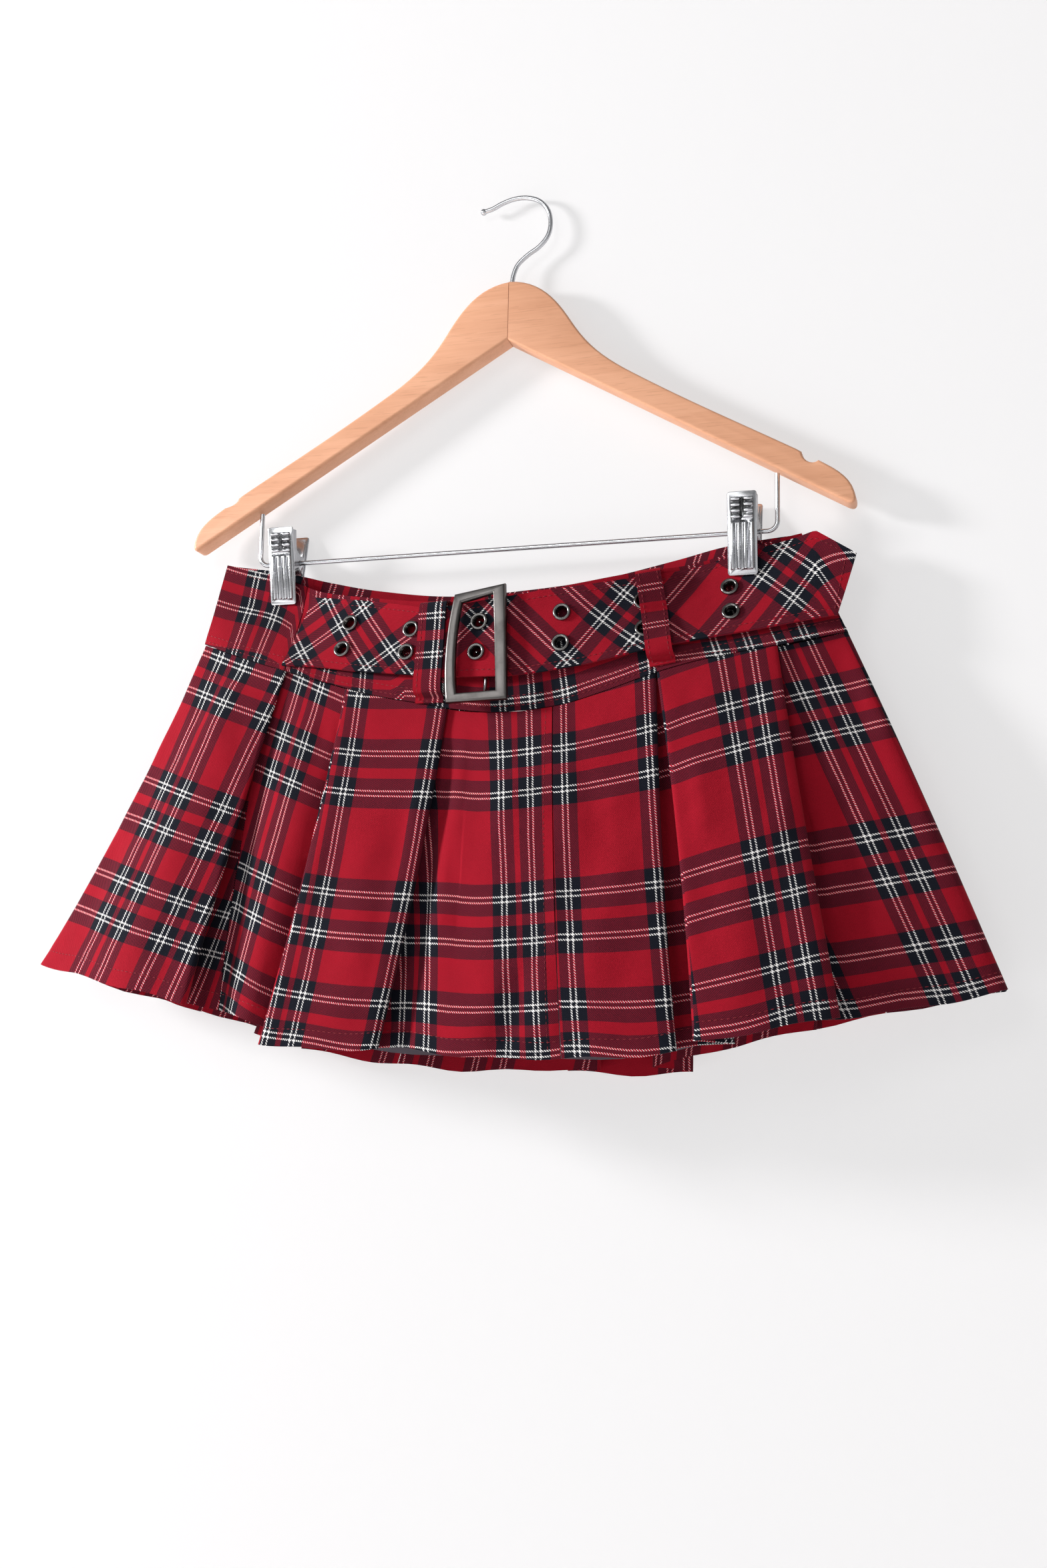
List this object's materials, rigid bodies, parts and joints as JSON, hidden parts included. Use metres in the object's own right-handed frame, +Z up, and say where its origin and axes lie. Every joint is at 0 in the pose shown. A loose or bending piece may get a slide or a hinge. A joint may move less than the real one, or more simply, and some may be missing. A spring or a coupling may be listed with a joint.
{
  "type": "box-pleated tartan mini skort on a wooden clip hanger",
  "caption": "Low-waisted box-pleated tartan mini skort with a loose bias belt, double-prong buckle and rolled eyelets, hung by its waist from a wooden hanger with metal clips.",
  "frame": {"origin": "inside top of the hanger's hook, where it rests on a rail or peg", "axes": "+X to the right along the hanger as seen from the front of the garment, +Y from the front of the garment to its back, +Z up"},
  "size_m": [0.6129, 0.0819, 0.5668],
  "materials": {
    "tartan": "matt twill",
    "shorts_cloth": "matt",
    "wood": "satin varnish",
    "steel": "polished",
    "nickel": "antique nickel, rubbed bright at its edges",
    "dark_metal": "gunmetal"
  },
  "bodies": {
    "root": {"hanger_arm_left": "wood", "hanger_arm_right": "wood", "hanger_hook": "steel", "hanger_wire_left": "steel", "hanger_clip_bar": "steel", "hanger_wire_right": "steel", "clip_left_front": "steel", "clip_left_back": "steel", "clip_left_spring": "dark_metal", "clip_right_front": "steel", "clip_right_back": "steel", "clip_right_spring": "dark_metal", "front_yoke": "tartan", "back_yoke": "tartan", "front_skirt_left": "tartan", "front_skirt_right": "tartan", "back_skirt_right": "tartan", "back_skirt_left": "tartan", "belt": "tartan", "belt_tab": "tartan", "belt_loop_left": "tartan", "belt_loop_right": "tartan", "shorts_left": "shorts_cloth", "shorts_right": "shorts_cloth", "buckle_frame": "nickel", "buckle_bar": "nickel", "buckle_prong_upper": "nickel", "buckle_prong_lower": "nickel", "eyelet_1_upper": "dark_metal", "eyelet_1_lower": "dark_metal", "eyelet_2_upper": "dark_metal", "eyelet_2_lower": "dark_metal", "eyelet_3_upper": "dark_metal", "eyelet_3_lower": "dark_metal", "eyelet_4_upper": "dark_metal", "eyelet_4_lower": "dark_metal", "eyelet_5_upper": "dark_metal", "eyelet_5_lower": "dark_metal", "eyelet_6_upper": "dark_metal", "eyelet_6_lower": "dark_metal"}
  },
  "joints": []
}
